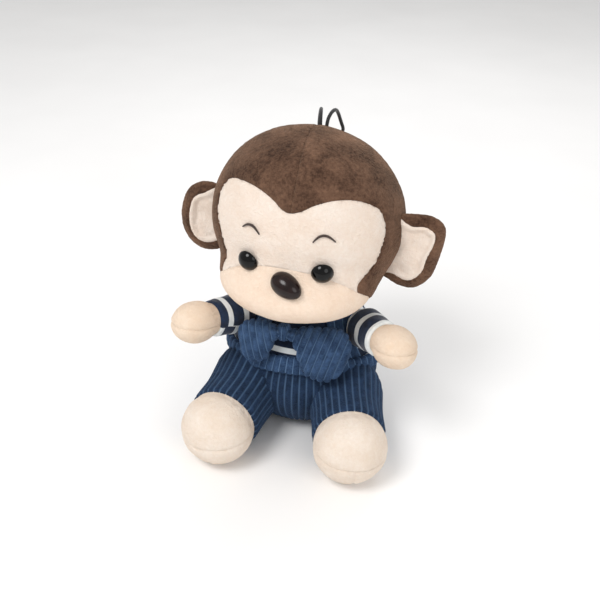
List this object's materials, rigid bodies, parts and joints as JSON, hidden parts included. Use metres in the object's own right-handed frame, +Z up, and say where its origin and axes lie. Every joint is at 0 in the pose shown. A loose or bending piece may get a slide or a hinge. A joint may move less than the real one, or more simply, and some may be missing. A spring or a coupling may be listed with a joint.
{
  "type": "plush monkey",
  "caption": "Seated stuffed monkey with a big head, round ears, corduroy dungarees, striped shirt and bow tie, joined at neck, shoulder and hip seams.",
  "frame": {"origin": "centre of the flat seat, on the surface that the toy sits on", "axes": "+Z up through the neck seam; the toy faces -Y; its own left is +X"},
  "size_m": [0.2307, 0.1948, 0.2794],
  "materials": {
    "brown_plush": "brushed short pile",
    "cream_plush": "short velvety pile",
    "peach_plush": "short velvety pile",
    "striped_jersey": "knitted, navy with pale stripes",
    "navy_corduroy": "wide wale pile",
    "glossy_black": "polished dome",
    "glossy_brown": "polished dome",
    "white_nylon": "moulded",
    "thread": "embroidery thread",
    "black_cord": "braided cord",
    "filling": "polyester fibre fill"
  },
  "bodies": {
    "torso": {"torso_stuffing": "filling", "shirt_body": "striped_jersey", "trousers_seat": "navy_corduroy", "waistband": "navy_corduroy", "strap_left": "navy_corduroy", "strap_right": "navy_corduroy", "bow_centre": "navy_corduroy"},
    "neck": {"neck_stitching": "thread"},
    "head": {"head_cover_left": "brown_plush", "head_cover_right": "brown_plush", "face_panel": "cream_plush", "muzzle_panel": "peach_plush", "head_stuffing": "filling", "eye_left": "glossy_black", "eye_right": "glossy_black", "eye_washer_left": "white_nylon", "eye_washer_right": "white_nylon", "nose": "glossy_brown", "nose_washer": "white_nylon", "eyebrow_left": "thread", "eyebrow_right": "thread", "hanging_loop": "black_cord", "loop_knot": "black_cord"},
    "ear_left": {"ear_back_left": "brown_plush", "ear_inner_left": "cream_plush"},
    "bow_wing_left": {"bow_wing_left": "navy_corduroy"},
    "shoulder_left": {"shoulder_stitching_left": "thread"},
    "arm_left": {"sleeve_left": "striped_jersey", "hand_upper_panel_left": "peach_plush", "hand_lower_panel_left": "peach_plush", "arm_stuffing_left": "filling"},
    "hip_left": {"hip_stitching_left": "thread"},
    "leg_left": {"trouser_leg_left": "navy_corduroy", "foot_upper_panel_left": "cream_plush", "foot_lower_panel_left": "cream_plush", "leg_stuffing_left": "filling"},
    "ear_right": {"ear_back_right": "brown_plush", "ear_inner_right": "cream_plush"},
    "bow_wing_right": {"bow_wing_right": "navy_corduroy"},
    "shoulder_right": {"shoulder_stitching_right": "thread"},
    "arm_right": {"sleeve_right": "striped_jersey", "hand_upper_panel_right": "peach_plush", "hand_lower_panel_right": "peach_plush", "arm_stuffing_right": "filling"},
    "hip_right": {"hip_stitching_right": "thread"},
    "leg_right": {"trouser_leg_right": "navy_corduroy", "foot_upper_panel_right": "cream_plush", "foot_lower_panel_right": "cream_plush", "leg_stuffing_right": "filling"}
  },
  "joints": [
    {"name": "neck_turn", "type": "hinge", "parent": "torso", "child": "neck", "pos_m": [0, 0, 0.1147], "axis": [0, 0, 1], "range_deg": [-25, 25], "stiffness_Nm_per_rad": 0.8},
    {"name": "head_nod", "type": "hinge", "parent": "neck", "child": "head", "pos_m": [0, 0, 0.1147], "axis": [0.994, -0.1097, 0], "range_deg": [-12, 5], "stiffness_Nm_per_rad": 4},
    {"name": "ear_flop_left", "type": "hinge", "parent": "head", "child": "ear_left", "pos_m": [0.08056, -0.01755, 0.18], "axis": [0, 0, 1], "range_deg": [-15, 15], "stiffness_Nm_per_rad": 0.05},
    {"name": "bow_lift_left", "type": "hinge", "parent": "torso", "child": "bow_wing_left", "pos_m": [-0.01, -0.05, 0.105], "axis": [0, 0, -1], "range_deg": [0, 16], "stiffness_Nm_per_rad": 0.02},
    {"name": "arm_swing_left", "type": "hinge", "parent": "torso", "child": "shoulder_left", "pos_m": [0.058, -0.024, 0.101], "axis": [0, 0, 1], "range_deg": [-8, 22], "stiffness_Nm_per_rad": 0.15},
    {"name": "arm_raise_left", "type": "hinge", "parent": "shoulder_left", "child": "arm_left", "pos_m": [0.058, -0.024, 0.101], "axis": [-0.809, -0.5878, 0], "range_deg": [-15, 10], "stiffness_Nm_per_rad": 0.15},
    {"name": "leg_splay_left", "type": "hinge", "parent": "torso", "child": "hip_left", "pos_m": [0.045, -0.04, 0.033], "axis": [0, 0, 1], "range_deg": [-6, 15], "stiffness_Nm_per_rad": 0.6},
    {"name": "leg_raise_left", "type": "hinge", "parent": "hip_left", "child": "leg_left", "pos_m": [0.045, -0.04, 0.033], "axis": [-0.9781, -0.2079, 0], "range_deg": [-20, 12], "stiffness_Nm_per_rad": 0.6},
    {"name": "ear_flop_right", "type": "hinge", "parent": "head", "child": "ear_right", "pos_m": [-0.08245, 0.00045, 0.18], "axis": [0, 0, -1], "range_deg": [-15, 15], "stiffness_Nm_per_rad": 0.05},
    {"name": "bow_lift_right", "type": "hinge", "parent": "torso", "child": "bow_wing_right", "pos_m": [-0.01, -0.05, 0.105], "axis": [0, 0, 1], "range_deg": [0, 16], "stiffness_Nm_per_rad": 0.02},
    {"name": "arm_swing_right", "type": "hinge", "parent": "torso", "child": "shoulder_right", "pos_m": [-0.058, -0.024, 0.101], "axis": [0, 0, -1], "range_deg": [-8, 22], "stiffness_Nm_per_rad": 0.15},
    {"name": "arm_raise_right", "type": "hinge", "parent": "shoulder_right", "child": "arm_right", "pos_m": [-0.058, -0.024, 0.101], "axis": [-0.809, 0.5878, 0], "range_deg": [-15, 10], "stiffness_Nm_per_rad": 0.15},
    {"name": "leg_splay_right", "type": "hinge", "parent": "torso", "child": "hip_right", "pos_m": [-0.045, -0.04, 0.033], "axis": [0, 0, -1], "range_deg": [-6, 15], "stiffness_Nm_per_rad": 0.6},
    {"name": "leg_raise_right", "type": "hinge", "parent": "hip_right", "child": "leg_right", "pos_m": [-0.045, -0.04, 0.033], "axis": [-0.9781, 0.2079, 0], "range_deg": [-20, 12], "stiffness_Nm_per_rad": 0.6}
  ]
}
